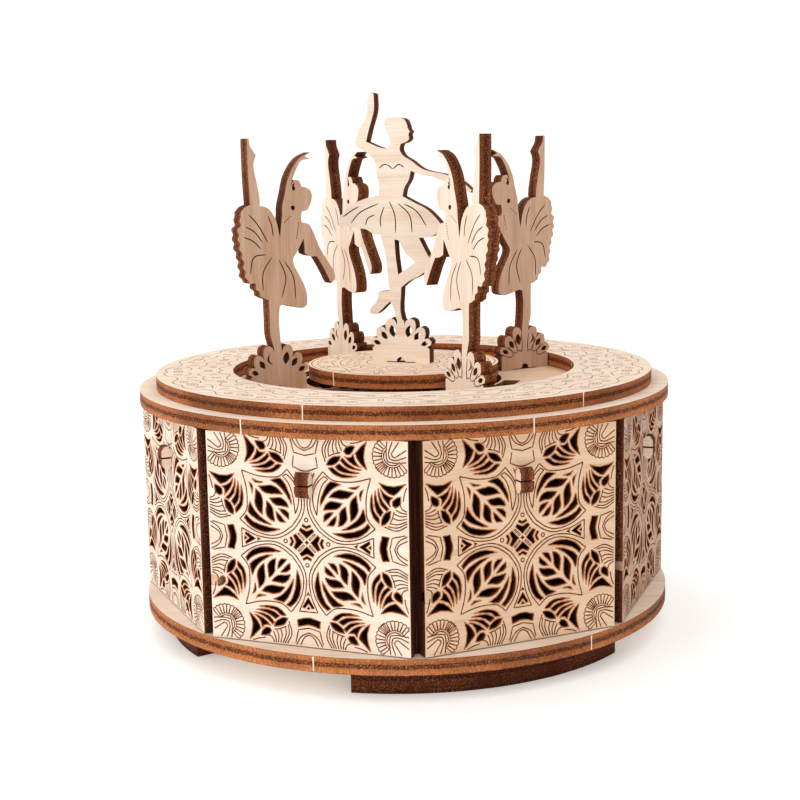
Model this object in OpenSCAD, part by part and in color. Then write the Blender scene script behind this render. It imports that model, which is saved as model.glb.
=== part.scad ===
// Ballerina jewellery box: a round plywood case of eight wedge drawers, with a clockwork
// that turns a centre dancer one way and a ring of four dancers the other way.
// Millimetres, +Z up, origin on the surface under the feet, on the case's axis.
// Angles run from the +X axis, anticlockwise from above; the front of the box is -Y.

/* [Case] */
// Radius of the base plate and of the flange plate
plate_r = 80; // [78:1:96]
// Height of the drawer bay between the base plate and the flange plate
bay_h = 58; // [56:1:72]
// Thickness of the main plywood
ply = 4; // [3.4:0.1:4.8]
// Thickness of the thin plywood of drawers, dividers and core wall
thin = 3; // [2.5:0.1:3.6]
// Thickness of the base plate
base_h = 4.5; // [3.8:0.1:5.4]
// Height of the feet, each glued from two plies
foot_h = 7.5; // [6:0.5:9]
// Radial width of a foot arc
foot_w = 12; // [8:1:16]
// How far the feet stand in from the rim of the base plate
foot_inset = 6.7; // [3:0.1:8]
// Angle that one foot arc covers
foot_span = 66; // [40:1:80]

/* [Top] */
// Step from the flange plate's rim in to the top ring's rim
top_step = 5; // [3:0.5:8]
// Radius of the round opening in the top ring
top_open_r = 52; // [50:1:56]
// Radius of the centre disc
disc_r = 29; // [26:0.5:29]
// Gap under the centre disc, over the top of the flange plate
disc_lift = 1; // [0.5:0.5:3]
// Angle of the first ring dancer
dancer_angle = 24.5; // [0:0.5:44]
// How far each ring dancer's plate is turned from pointing straight at the axis
dancer_turn = 6.5; // [-8:0.5:8]
// Direction in which the centre dancer's plate runs
centre_angle = -22; // [-90:1:90]

/* [Drawers] */
// Gap between the outer corners of two neighbouring drawer fronts
corner_gap = 3.8; // [3.2:0.1:6]
// Height of the tray's walls above its floor
tray_wall_h = 33; // [20:1:34]
// Height of the pull's middle over the base plate
pull_z = 44.8; // [36:0.2:45]
// Height of the pull's tip
pull_h = 6.6; // [5:0.2:8]
// How far the pull stands out of the drawer front
pull_out = 2.8; // [1.5:0.1:4]

/* [Clockwork] */
// Radius of the upright arbor
arbor_r = 3; // [2.5:0.25:3.5]
// Radius of the winding wheel under the base
key_r = 24; // [18:1:30]
// Inner apothem of the core wall
core_ap = 30; // [30:0.5:32]
// Tooth size (module) of the turntable gears
turn_module = 2; // [2:0.5:2]
// Radius of the spring barrel
barrel_r = 13; // [11:0.5:14]

/* [Fits] */
// Running clearance of an arbor in its bore, on the radius
bore_gap = 0.05; // [0.03:0.01:0.09]
// Gap between pieces that slide or turn past each other
run_gap = 0.3; // [0.3:0.05:0.5]

/* [Hidden] */
$fn = 96;
sides = 8;
sector = 360 / sides;
quarter = 90;

// heights, from the feet up
base_z = foot_h;
bay_z = base_z + base_h;
flange_z = bay_z + bay_h;
top_z = flange_z + ply;
turn_gap = run_gap;
ring_h = ply - turn_gap;
ring_z = top_z - turn_gap - ring_h;
gear_h = ring_h - turn_gap;
gear_z = ring_z - ring_h;
deck_z = gear_z - turn_gap - ply;
disc_z = top_z + disc_lift;

// drawer front: its outer corners lie on the rim of the plates
corner_turn = asin(corner_gap / 2 / plate_r);
front_ap = plate_r * cos(sector / 2 - corner_turn);
front_w = 2 * plate_r * sin(sector / 2 - corner_turn);
front_h = bay_h - 2 * run_gap;
front_z = bay_z + run_gap;
lining_ap = front_ap - thin;
tray_ap = lining_ap - thin;

// dividers and core
divider_out = plate_r * cos(corner_turn) - thin / cos(sector / 2) - run_gap * 3;
core_out = core_ap + thin;
wall_slope = tan(sector / 2);
wall_clear = (thin / 2 + run_gap * 1.6) / cos(sector / 2);
deck_r = tray_ap - run_gap * 2;
divider_tab = [deck_r * 0.74, deck_r * 0.86];

// dancers
base_half = 9.2;
block_h = 4.8;
// the farthest corner of a turned dancer's block stays this far inside the top ring
dancer_gap = 0.625;
corner_along = base_half * cos(dancer_turn) + ply / 2 * abs(sin(dancer_turn));
corner_aside = base_half * abs(sin(dancer_turn)) - ply / 2 * cos(dancer_turn);
pitch_r = sqrt(pow(top_open_r - dancer_gap, 2) - pow(corner_aside, 2)) - corner_along;
tab_w = 8;
dancer_steps = [for (i = [0 : 3]) i];

// turntable gears: sun, two idlers, inside gear
sun_teeth = 12;
idler_teeth = 12;
ring_teeth = sun_teeth + 2 * idler_teeth;
idler_at = turn_module * (sun_teeth + idler_teeth) / 2;
pin_r = 2;
ring_in_r = disc_r + 1;
ring_out_r = top_open_r + 2;
gear_rim_r = turn_module * ring_teeth / 2 + 10;

// music movement
fine_module = 0.8;
drive_teeth = 36;
barrel_pinion_teeth = 18;
fan_teeth = 10;
fine_h = 3;
bed_h = 2;
barrel_h = 14;
bed_top = bay_z + bed_h;
drive_z = bed_top + barrel_h + 2;
tune_at = fine_module * (drive_teeth + barrel_pinion_teeth) / 2;
fan_at = fine_module * (drive_teeth + fan_teeth) / 2;
fan_angle = 210;
tune_arbor_r = 1.2;
fan_arbor_r = 1;
tune_r = 6.2;
tune_z = drive_z + fine_h + 2;
tune_h = 20;

// ---- helpers -----------------------------------------------------------------

// A flat plate of the 2D children, its underside at height z
module plate(z, h) {
    translate([0, 0, z])
        linear_extrude(height = h)
            children();
}

// Ring of inner radius a and outer radius b, in 2D
module annulus(a, b) {
    difference() {
        circle(r = b);
        circle(r = a);
    }
}

// Pie slice of half-angle half about the +X axis, in 2D
module slice(half, reach) {
    polygon([
        [0, 0],
        [reach * cos(half), -reach * sin(half)],
        [reach * 1.3, 0],
        [reach * cos(half), reach * sin(half)]
    ]);
}

// Pointed lens: two circles' overlap, length long and width wide, along +Y, in 2D
module lens(length, width) {
    arc_r = (length * length + width * width) / (4 * width);
    intersection() {
        translate([arc_r - width / 2, 0]) circle(r = arc_r);
        translate([width / 2 - arc_r, 0]) circle(r = arc_r);
    }
}

// Involute point at the radius r, for the base circle base_r
function roll(base_r, r) = sqrt(max(0, pow(r / base_r, 2) - 1));
function involute_angle(base_r, r) = roll(base_r, r) * 180 / PI - atan(roll(base_r, r));

// Spur gear outline with a tooth on the +X axis
module gear_outline(m, teeth, tip, root, slack) {
    pitch = m * teeth / 2;
    base_r = pitch * cos(20);
    tip_r = pitch + tip * m;
    root_r = pitch - root * m;
    half = 90 / teeth - slack / pitch * 90 / PI;
    start_r = max(base_r, root_r);
    steps = 4;
    flank = [for (i = [0 : steps]) start_r + (tip_r - start_r) * i / steps];
    function lean(r) = half + involute_angle(base_r, pitch) - involute_angle(base_r, r);
    polygon([
        for (t = [0 : teeth - 1]) let (mid = 360 * t / teeth) each concat(
            [root_r * [cos(mid - lean(start_r)), sin(mid - lean(start_r))]],
            [for (r = flank) r * [cos(mid - lean(r)), sin(mid - lean(r))]],
            [for (i = [steps : -1 : 0]) let (r = flank[i]) r * [cos(mid + lean(r)), sin(mid + lean(r))]],
            [root_r * [cos(mid + lean(start_r)), sin(mid + lean(start_r))]]
        )
    ]);
}

// ---- case --------------------------------------------------------------------

// Slots for the divider tabs, in 2D
module tab_slots() {
    for (k = [0 : sides - 1])
        rotate(k * sector - quarter)
            translate([divider_tab[0], -thin / 2])
                square([divider_tab[1] - divider_tab[0], thin]);
}

module base_plate() {
    color("burlywood")
        plate(base_z, base_h)
            difference() {
                circle(r = plate_r);
                circle(r = arbor_r + bore_gap);
                tab_slots();
            }
}

// Three arcs of two plies; the two rear ones mirror each other about the front one
module feet() {
    foot_mid = -71;
    foot_turn = 109.5;
    outer = plate_r - foot_inset;
    color("saddlebrown")
        for (turn = [-foot_turn, 0, foot_turn])
            rotate([0, 0, foot_mid + turn])
                plate(0, foot_h)
                    intersection() {
                        annulus(outer - foot_w, outer);
                        slice(foot_span / 2, plate_r);
                    }
}

// Upright plates between the drawers, notched under the gear deck and tabbed into both plates
module dividers() {
    color("peru")
        for (k = [0 : sides - 1])
            rotate([0, 0, k * sector - quarter])
                translate([0, thin / 2, 0])
                    rotate([90, 0, 0])
                        linear_extrude(height = thin)
                            polygon([
                                [core_out / cos(sector / 2), bay_z],
                                [divider_tab[0], bay_z],
                                [divider_tab[0], base_z],
                                [divider_tab[1], base_z],
                                [divider_tab[1], bay_z],
                                [divider_out, bay_z],
                                [divider_out, flange_z],
                                [deck_r, flange_z],
                                [deck_r, deck_z],
                                [core_out / cos(sector / 2), deck_z]
                            ]);
}

// Eight-sided wall around the clockwork
module core_wall() {
    color("peru")
        plate(bay_z, deck_z - bay_z)
            rotate(sector / 2 - quarter)
                difference() {
                    rotate(sector / 2) circle(r = core_out / cos(sector / 2), $fn = sides);
                    rotate(sector / 2) circle(r = core_ap / cos(sector / 2), $fn = sides);
                }
}

// Plate that carries the gears and the turning ring
module gear_deck() {
    color("burlywood")
        plate(deck_z, ply)
            difference() {
                circle(r = deck_r);
                circle(r = arbor_r + bore_gap);
                for (side = [-1, 1]) translate([side * idler_at, 0]) circle(r = pin_r);
                translate([0, tune_at]) circle(r = tune_arbor_r + bore_gap);
                rotate(fan_angle) translate([fan_at, 0]) circle(r = fan_arbor_r + bore_gap);
            }
}

module flange_plate() {
    color("burlywood")
        plate(flange_z, ply)
            annulus(ring_out_r + run_gap, plate_r);
}

module top_ring() {
    color("wheat")
        plate(top_z, ply)
            annulus(top_open_r, plate_r - top_step);
}

// ---- drawers -----------------------------------------------------------------
// Each drawer is drawn with its front facing -Y, x across the front, then turned.

module at_drawer(k) {
    rotate([0, 0, (k - 0.5) * sector]) children();
}

// Half the free width between two dividers, at the distance y in front of the axis
function bay_half(y) = y * wall_slope - wall_clear;

// One side wall of the tray in plan, from y1 out to y2, across thick along the front
module side_wall(y1, y2, across) {
    polygon([
        [-bay_half(y1), -y1],
        [-bay_half(y2), -y2],
        [across - bay_half(y2), -y2],
        [across - bay_half(y1), -y1]
    ]);
}

// The left side wall's tenon, which shows at the edge of the drawer front
module side_tenon(grow) {
    tenon_z = bay_z + bay_h * 0.258;
    tenon_h = 2.8;
    tenon_w = 1.8;
    translate([0, 0, tenon_z - grow])
        linear_extrude(height = tenon_h + 2 * grow)
            side_wall(tray_ap - 2, front_ap + 2 * grow, tenon_w + grow);
}

// Pull: a flat plate whose split tip snaps through lining and front
module pull_plate(grow) {
    neck = pull_h - 1.2;
    root_y = tray_ap - 6;
    root_h = 2 * (deck_z - 2 * run_gap - bay_z - pull_z);
    translate([-ply / 2 - grow, 0, bay_z + pull_z])
        rotate([90, 0, 90])
            linear_extrude(height = ply + 2 * grow)
                union() {
                    translate([-tray_ap, -root_h / 2]) square([tray_ap - root_y, root_h]);
                    translate([-front_ap - 0.6, -neck / 2 - grow])
                        square([front_ap + 0.6 - tray_ap, neck + 2 * grow]);
                    for (side = [-1, 1])
                        translate([-front_ap - pull_out + 1.4, side * (pull_h / 2 - 1.6)])
                            intersection() {
                                circle(r = 1.6);
                                translate([-1.4, -2]) square([2.8, 4]);
                            }
                    translate([-front_ap - pull_out, -pull_h / 2 + 1.6])
                        square([pull_out, pull_h - 3.2]);
                }
}

// Half of a pierced leaf medallion, drawn along its diagonal; mirrored by the caller
module leaf_cells() {
    translate([2.1, 4.6]) rotate(-28) lens(7, 3);
    translate([2.9, -0.3]) rotate(-32) lens(7.4, 3.2);
    translate([2.1, -4.3]) rotate(-40) lens(4, 2);
    translate([7.3, -0.6]) rotate(14) lens(10, 2);
    translate([6.6, 6.4]) rotate(60) lens(4.4, 1.2);
}

// Pierced work of one eighth of a drawer front, for a front 57.4 mm square
module fretwork_part() {
    // leaf medallion
    translate([10.6, 10.6])
        rotate(-45)
            leaf_cells();
    // tulips along the front's edges
    translate([13.4, 20.6]) rotate(-62) lens(9.6, 3.2);
    translate([9.2, 22.6]) rotate(-58) lens(5, 2.4);
    translate([12.4, 25.4]) rotate(40) lens(3.6, 2.4);
    translate([16, 24.8]) rotate(14) lens(6.4, 2.6);
    // crossing diamond
    translate([0, 3.2]) rotate(45) square(2, center = true);
    // window in the middle of each edge
    translate([0, 21.4]) square([6.4, 2], center = true);
}

module fretwork() {
    scale_to_front = min(front_w, front_h) / 57.4;
    scale(scale_to_front)
        for (turn = [0 : 3])
            rotate(turn * quarter) {
                fretwork_part();
                mirror([1, 0]) fretwork_part();
            }
}

module drawer_front(k) {
    pull_pad = 9;
    color("bisque")
        at_drawer(k)
            difference() {
                translate([0, thin - front_ap, front_z + front_h / 2])
                    rotate([90, 0, 0])
                        linear_extrude(height = thin)
                            difference() {
                                square([front_w, front_h], center = true);
                                difference() {
                                    fretwork();
                                    translate([0, front_h / 2 - pull_pad])
                                        square([pull_pad * 1.2, 2 * pull_pad], center = true);
                                }
                            }
                pull_plate(0.05);
                side_tenon(0.05);
            }
}

// Dark board behind the pierced front
module drawer_lining(k) {
    color("dimgray")
        at_drawer(k)
            difference() {
                translate([-bay_half(tray_ap), -lining_ap, front_z])
                    cube([2 * bay_half(tray_ap), thin, front_h]);
                pull_plate(0.05);
                side_tenon(0.05);
            }
}

// Floor, back and two splayed sides; the left side ends in the tenon
module drawer_tray(k) {
    back_y = core_out + run_gap * 2;
    across = thin / cos(sector / 2);
    color("peru")
        at_drawer(k) {
            plate(front_z, thin)
                polygon([
                    [-bay_half(back_y), -back_y],
                    [-bay_half(tray_ap), -tray_ap],
                    [bay_half(tray_ap), -tray_ap],
                    [bay_half(back_y), -back_y]
                ]);
            plate(front_z, thin + tray_wall_h) {
                side_wall(back_y, tray_ap, across);
                mirror([1, 0]) side_wall(back_y, tray_ap, across);
                translate([-bay_half(back_y), -back_y - thin])
                    square([2 * bay_half(back_y), thin]);
            }
            side_tenon(0);
        }
}

module drawer_pull(k) {
    slit = 0.5;
    color("sienna")
        at_drawer(k)
            difference() {
                pull_plate(0);
                translate([-ply, -front_ap - pull_out - 1, bay_z + pull_z - slit / 2])
                    cube([2 * ply, pull_out + thin * 2, slit]);
            }
}

// ---- clockwork ---------------------------------------------------------------

module movement_plate() {
    color("darkgoldenrod")
        plate(bay_z, bed_h)
            difference() {
                circle(r = core_ap - 1);
                circle(r = arbor_r + bore_gap);
                translate([0, tune_at]) circle(r = tune_arbor_r + bore_gap);
                rotate(fan_angle) translate([fan_at, 0]) circle(r = fan_arbor_r + bore_gap);
            }
}

// Closed can around the mainspring
module spring_barrel() {
    wall = 1;
    color("gold")
        difference() {
            plate(bed_top, barrel_h) circle(r = barrel_r);
            plate(bed_top - 1, barrel_h + 1 - wall) circle(r = barrel_r - wall);
            plate(bed_top, barrel_h + 1) circle(r = arbor_r + bore_gap);
        }
}

// Spiral strip between the arbor and the barrel
module mainspring() {
    turns = 5;
    strip = 0.4;
    start_r = arbor_r + 0.8;
    end_r = barrel_r - 1.8;
    steps = turns * 16;
    function arm(i) = start_r + (end_r - start_r) * i / steps;
    function spot(i, r) = r * [cos(i * 22.5), sin(i * 22.5)];
    color("slategray")
        plate(bed_top + 1, barrel_h - 3)
            polygon(concat(
                [for (i = [0 : steps]) spot(i, arm(i))],
                [for (i = [steps : -1 : 0]) spot(i, arm(i) + strip)]
            ));
}

// Steel comb on its post, its teeth reaching the tune cylinder
module comb() {
    teeth = 12;
    reach = tune_r + run_gap;
    back = 17.5;
    root = 13;
    pitch = (tune_h - 2) / teeth;
    blade = 1;
    color("silver")
        difference() {
            union() {
                translate([reach, tune_at - blade / 2, tune_z + 1])
                    cube([back - reach, blade, tune_h - 2]);
                translate([root, tune_at - blade / 2, bed_top])
                    cube([back - root, 3, tune_z + tune_h - 1 - bed_top]);
            }
            for (i = [1 : teeth - 1])
                translate([reach - 1, tune_at - 2, tune_z + 1 + i * pitch])
                    cube([root - reach, 4, pitch * 0.3]);
        }
}

module idler_pins() {
    color("silver")
        for (side = [-1, 1])
            translate([side * idler_at, 0, 0])
                plate(deck_z, gear_z + gear_h - deck_z) circle(r = pin_r);
}

module arbor() {
    color("silver")
        plate(ply / 2, disc_z - ply / 2) circle(r = arbor_r);
}

// Flat wheel with finger scallops, turned from below to wind the spring
module winding_wheel() {
    scallops = 10;
    color("burlywood")
        plate(ply / 2 - 0.5, ply)
            difference() {
                circle(r = key_r);
                circle(r = arbor_r);
                for (i = [0 : scallops - 1])
                    rotate(i * 360 / scallops)
                        translate([key_r + 2, 0]) circle(r = 4);
            }
}

module drive_gear() {
    color("gold")
        plate(drive_z, fine_h)
            difference() {
                gear_outline(fine_module, drive_teeth, 0.9, 1.2, 0.12);
                circle(r = arbor_r);
            }
}

module sun_gear() {
    boss_r = 8;
    color("tan")
        difference() {
            union() {
                plate(gear_z, gear_h) gear_outline(turn_module, sun_teeth, 0.9, 1.2, 0.2);
                plate(gear_z, disc_z - gear_z) circle(r = boss_r);
            }
            plate(gear_z - 1, disc_z - gear_z + 2) circle(r = arbor_r);
        }
}

module idler_gear(side) {
    color("tan")
        translate([side * idler_at, 0, 0])
            plate(gear_z, gear_h)
                difference() {
                    rotate(180 / idler_teeth)
                        gear_outline(turn_module, idler_teeth, 0.9, 1.2, 0.2);
                    circle(r = pin_r + bore_gap);
                }
}

// Inside gear under the turning ring
module ring_gear() {
    color("tan")
        plate(gear_z, ring_z - gear_z)
            difference() {
                circle(r = gear_rim_r);
                rotate(180 / ring_teeth)
                    gear_outline(turn_module, ring_teeth, 1.2, 0.9, -0.2);
            }
}

module tune_cylinder() {
    color("gold")
        translate([0, tune_at, 0]) {
            plate(bay_z, deck_z + ply - bay_z) circle(r = tune_arbor_r);
            plate(drive_z, fine_h) gear_outline(fine_module, barrel_pinion_teeth, 0.9, 1.2, 0.12);
            plate(tune_z, tune_h) circle(r = tune_r);
        }
}

// Air brake that keeps the tune at an even speed
module governor() {
    blade = [6.5, 0.8, 14];
    color("gold")
        rotate([0, 0, fan_angle])
            translate([fan_at, 0, 0]) {
                plate(bay_z, deck_z + ply - bay_z) circle(r = fan_arbor_r);
                plate(drive_z, fine_h)
                    rotate(180 - 180 / fan_teeth)
                        gear_outline(fine_module, fan_teeth, 0.9, 1.2, 0.12);
                translate([-blade.x, -blade.y / 2, tune_z]) cube([2 * blade.x, blade.y, blade.z]);
            }
}

// ---- dancers -----------------------------------------------------------------
// Outlines are drawn upright: x across the plate, y up from the floor it stands on.

// Fan of petals on a block, both dancers' base; x is measured from its middle
module petal_base() {
    petals = [[7.6, 5.6, 62, 5], [5.1, 8, 36, 6.4], [2.6, 9.2, 14, 8]];
    difference() {
        union() {
            translate([-base_half, 0]) square([2 * base_half, block_h]);
            translate([0, block_h - 1]) circle(r = 6.4);
            for (side = [-1, 1])
                for (p = petals)
                    translate([side * p[0], p[1]])
                        rotate(-side * p[2]) lens(p[3] * 1.35, 4.4);
        }
        for (side = [-1, 1])
            for (p = petals)
                translate([side * p[0], p[1]])
                    rotate(-side * p[2]) lens(p[3] * 0.45, 1.3);
        circle(r = 1.2);
        translate([-2 * base_half, -3 * base_half]) square([4 * base_half, 3 * base_half]);
    }
}

// Tab that holds a dancer in the plate below
module base_tab(depth) {
    translate([-tab_w / 2, -depth]) square([tab_w, depth + 1]);
}

// Arabesque on one leg, the other leg straight up behind her back; +x is the side she faces
module ring_dancer_outline() {
    polygon([
        [-1.2, 6], [-1.8, 12], [-2.3, 16.5], [-2.4, 21.5], [-2.5, 27],
        [-4, 27.5], [-5.2, 28.6], [-6.2, 30.2], [-7.1, 31.9], [-9, 32.6],
        [-9.9, 35.1], [-10.2, 37.6], [-10.5, 39.5], [-11.1, 41.4], [-11.5, 43.9],
        [-11.6, 47.6], [-10.8, 49.5], [-11, 51.4], [-10.4, 52.3], [-9.6, 53.6], [-7.6, 54.5],
        [-7.9, 61.4], [-8, 66.4], [-8, 73.1], [-7.4, 73.1], [-7.1, 71.1],
        [-6.1, 69.6], [-5.3, 68.3], [-6.1, 66.1], [-5.2, 60.1], [-4.5, 54.5],
        [-4.6, 54.1], [-3.3, 53.9], [-1.5, 53], [0.4, 50.2], [1.7, 44.8],
        [2.6, 51.4], [2.7, 53.3], [3.8, 57.6], [4.8, 61.4], [6, 63.9],
        [7.6, 66.1], [9.2, 67.6], [12.4, 69], [10.6, 67.9], [12.3, 67.1],
        [9.3, 66.6], [8.1, 65], [7.1, 63.2], [6.3, 61.3], [5.6, 59], [6.4, 60.6],
        [6.7, 61.2], [8.2, 61.1], [9, 60], [9.1, 59.2], [11, 58.8],
        [12.4, 57.6], [12.4, 55.1], [11, 52.3], [9.1, 52], [8.9, 49.8],
        [9.1, 48.9], [11.3, 48.3], [12.6, 46.4], [14.8, 41.4], [17.6, 37],
        [19.8, 33], [19.5, 31.4], [18.5, 30.6], [15.7, 35.8], [13.8, 38.8],
        [11.7, 39], [9.8, 39.8], [9.5, 44.2], [7.1, 40.3], [5.9, 38.4],
        [6, 37], [7.6, 33.9], [9.4, 30.4], [10.2, 27], [10.1, 24.8],
        [8.9, 24], [5.1, 24.5], [2, 25.3], [1, 25], [0.6, 21.4],
        [0.8, 16.4], [1.1, 11.4], [1.3, 6]
    ]);
}

// Centre dancer: one arm up, one arm out, her free leg bent across the standing leg
module centre_dancer_outline() {
    difference() {
        polygon([
            [-1.1, 8], [-1, 13.5], [-2.8, 18], [-3.3, 18.6], [-5, 17.1],
            [-6.6, 15.6], [-8.4, 14.5], [-10, 15], [-9.8, 16.2], [-7.4, 19],
            [-7, 21.5], [-3.4, 21.9], [-4.1, 28.4], [-4.4, 32.1], [-6, 38.8],
            [-8.1, 39], [-10.6, 40.4], [-15, 40.9], [-19.6, 41.6], [-19.8, 43.4],
            [-18.1, 45.3], [-15, 47.9], [-11.2, 49.5], [-6.4, 50.6], [-6.1, 53.4],
            [-6.9, 57.2], [-7.2, 60.3], [-8.7, 62.4], [-11.6, 64.4], [-13.6, 65.6],
            [-13.4, 67.2], [-11.9, 70.9], [-10, 73.7], [-9.4, 76.5], [-9.9, 78.6],
            [-9.1, 78.6], [-8.8, 80.4], [-8.1, 81], [-7.4, 80.6], [-7.4, 75.9],
            [-9.1, 70.3], [-10.1, 66.6], [-5.3, 64.7], [-3.1, 64.5], [-2.2, 66.4],
            [-3.4, 69.3], [-4.4, 72], [-3.4, 73.2], [-1.9, 73.5], [1, 73.4], [2.2, 72.9],
            [3.1, 71.1], [3.3, 70.2], [4, 69.3], [3.5, 68.7], [3.6, 67.2], [2.8, 66.4],
            [1, 65.8], [0.6, 64.3], [1.6, 62.4], [4, 60.9], [7.5, 58.4], [10, 57.6],
            [15, 56.6], [20, 54.4], [23, 51.9], [22.6, 51.2], [19, 53], [13.8, 54.9],
            [10, 56.2], [6.9, 56.8], [4, 57.8], [3.4, 55.3], [1.9, 52.8], [1.3, 50.3],
            [5, 48.4], [8.8, 46.5], [11.9, 43.7], [13.2, 42.1], [12.6, 40.2], [10.6, 38.4],
            [6.3, 37.9], [9, 32.8], [9.9, 31.4], [9.4, 29.4], [6.3, 26.5], [3.1, 25],
            [0.4, 22.9], [0.5, 13.4], [1.3, 8]
        ]);
        polygon([[-1.5, 37.4], [-1.2, 32.1], [-0.5, 26.8], [5, 30.6], [1.9, 33.4], [-0.2, 37.2]]);
    }
}

// Stands an outline up on the plate, its middle plane through the plate's own middle
module stand_up() {
    rotate([90, 0, 0])
        translate([0, 0, -ply / 2])
            linear_extrude(height = ply)
                children();
}

module centre_disc() {
    color("wheat")
        plate(disc_z, ply)
            difference() {
                circle(r = disc_r);
                rotate(centre_angle) square([tab_w, ply], center = true);
            }
}

module centre_dancer() {
    color("bisque")
        translate([0, 0, disc_z + ply])
            rotate([0, 0, centre_angle])
                stand_up() {
                    centre_dancer_outline();
                    petal_base();
                    base_tab(ply);
                }
}

// Turning ring with the dancers' slots and its own lightening slots
module dancer_ring() {
    color("wheat")
        plate(ring_z, ring_h)
            difference() {
                annulus(ring_in_r, ring_out_r);
                for (i = dancer_steps)
                    rotate(dancer_angle + i * quarter) {
                        translate([pitch_r, 0]) rotate(dancer_turn) square([tab_w, ply], center = true);
                        rotate(quarter / 2 - 4) intersection() {
                            annulus(ring_in_r + 1, ring_in_r + 6);
                            slice(11, plate_r);
                        }
                        rotate(quarter / 2) translate([pitch_r - 2, -1.6]) square([2.4, 3.2]);
                    }
            }
}

module ring_dancer(i) {
    color("bisque")
        rotate([0, 0, dancer_angle + i * quarter])
            translate([pitch_r, 0, ring_z + ring_h])
                rotate([0, 0, dancer_turn])
                mirror([1, 0, 0])
                    stand_up() {
                        ring_dancer_outline();
                        petal_base();
                        base_tab(ring_h);
                    }
}

// ---- assembly ----------------------------------------------------------------

base_plate();
feet();
dividers();
core_wall();
gear_deck();
flange_plate();
top_ring();
movement_plate();
spring_barrel();
mainspring();
comb();
idler_pins();
arbor();
winding_wheel();
drive_gear();
sun_gear();
centre_disc();
centre_dancer();
dancer_ring();
ring_gear();
idler_gear(1);  // idler_gear_1
idler_gear(-1);  // idler_gear_2
tune_cylinder();
governor();
for (i = dancer_steps)
    ring_dancer(i);
for (k = [1 : sides])
    drawer_front(k);
for (k = [1 : sides])
    drawer_lining(k);
for (k = [1 : sides])
    drawer_tray(k);
for (k = [1 : sides])
    drawer_pull(k);
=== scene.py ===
from math import cos, degrees, pi, radians, sin
from random import Random

import bmesh
import bpy
from mathutils import Matrix, Vector


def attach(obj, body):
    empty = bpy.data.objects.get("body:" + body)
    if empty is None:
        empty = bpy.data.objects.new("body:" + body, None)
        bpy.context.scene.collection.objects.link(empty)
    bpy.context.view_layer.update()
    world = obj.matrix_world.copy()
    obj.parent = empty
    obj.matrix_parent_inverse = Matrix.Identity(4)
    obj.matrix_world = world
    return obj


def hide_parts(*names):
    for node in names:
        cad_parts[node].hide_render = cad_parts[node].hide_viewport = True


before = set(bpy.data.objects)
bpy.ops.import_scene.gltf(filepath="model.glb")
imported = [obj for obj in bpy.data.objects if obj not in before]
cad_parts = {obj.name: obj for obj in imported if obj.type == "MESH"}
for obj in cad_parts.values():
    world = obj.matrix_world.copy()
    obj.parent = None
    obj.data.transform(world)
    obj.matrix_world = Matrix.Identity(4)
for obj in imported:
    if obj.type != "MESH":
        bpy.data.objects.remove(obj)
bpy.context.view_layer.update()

# Ballerina jewellery box: laser-cut birch plywood, pierced drawer fronts and a ring of dancers.
# Pieces are drawn flat in millimetres, cut to their sheet's thickness, and then stood in place.

MM = 0.001
chance = Random(20)

# the case in mm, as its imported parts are; AT is the height of an underside above the table
PLY = 4.0
PLATE_R = 80.0
TOP_R = 75.0
OPENING_R = 52.0
DISC_R = 29.0
DIVIDER_END_R = 73.0
WHEEL_AT = 1.5
BASE_AT = 7.5
BASE_THICK = 4.5
TRAY_FLOOR_TOP = 16.0
DECK_AT = 62.0
GEARS_AT = 66.3
TURNTABLE_AT = 70.0
TURNTABLE_THICK = 3.7
FLANGE_AT = 70.0
RING_AT = FLANGE_AT + PLY
DISC_AT = 75.0

# the dancers' places, angles in degrees
DANCER_R = 42.0
DANCER_ANGLE = 24.5
DANCER_TURN = 6.5
CENTRE_HEADING = -22

# ---- drawing in the flat ------------------------------------------------------


def bowed(points, steps=6):
    """Closed line whose every second point is a corner; each side bows through the point between."""
    line = []
    count = len(points)
    for i in range(0, count, 2):
        start = Vector(points[i])
        through = Vector(points[i + 1])
        end = Vector(points[(i + 2) % count])
        pull = through * 2 - (start + end) / 2
        for s in range(steps):
            t = s / steps
            line.append(start * (1 - t) ** 2 + pull * 2 * t * (1 - t) + end * t * t)
    return line


def flowing(points, closed=True, steps=4, sharp=50):
    """Line that flows through the points, with a corner where it turns by more than sharp degrees."""
    spots = [Vector(p) for p in points]
    count = len(spots)

    def lean(i, chord):
        at_end = not closed and i in (0, count - 1)
        if at_end:
            return chord
        before = spots[i % count] - spots[(i - 1) % count]
        after = spots[(i + 1) % count] - spots[i % count]
        if degrees(before.angle(after)) > sharp:
            return chord
        return (before.normalized() + after.normalized()).normalized() * chord.length

    line = []
    for i in range(count if closed else count - 1):
        start = spots[i]
        end = spots[(i + 1) % count]
        chord = end - start
        lead = lean(i, chord)
        land = lean(i + 1, chord)
        for s in range(steps):
            t = s / steps
            along = start * (2 * t**3 - 3 * t**2 + 1) + end * (3 * t**2 - 2 * t**3)
            line.append(along + lead * (t**3 - 2 * t**2 + t) + land * (t**3 - t**2))
    if not closed:
        line.append(spots[-1])
    return line


def arc(middle, radius, start, end, steps=12):
    """Open line along part of a circle, angles in degrees."""
    turn = [radians(start + (end - start) * s / steps) for s in range(steps + 1)]
    return [Vector((middle[0] + radius * cos(a), middle[1] + radius * sin(a))) for a in turn]


def slit(points, width=0.34, steps=6):
    """Closed outline of a thin saw cut along an open line, narrow at its ends."""
    run = flowing(points, closed=False, steps=steps, sharp=180)
    last = len(run) - 1
    left = []
    right = []
    for i, spot in enumerate(run):
        along = run[min(i + 1, last)] - run[max(i - 1, 0)]
        half = width / 2 * min(1, 0.4 + 5 * min(i, last - i) / last)
        side = Vector((-along.y, along.x)).normalized() * half
        left.append(spot + side)
        right.append(spot - side)
    return left + right[::-1]


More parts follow.
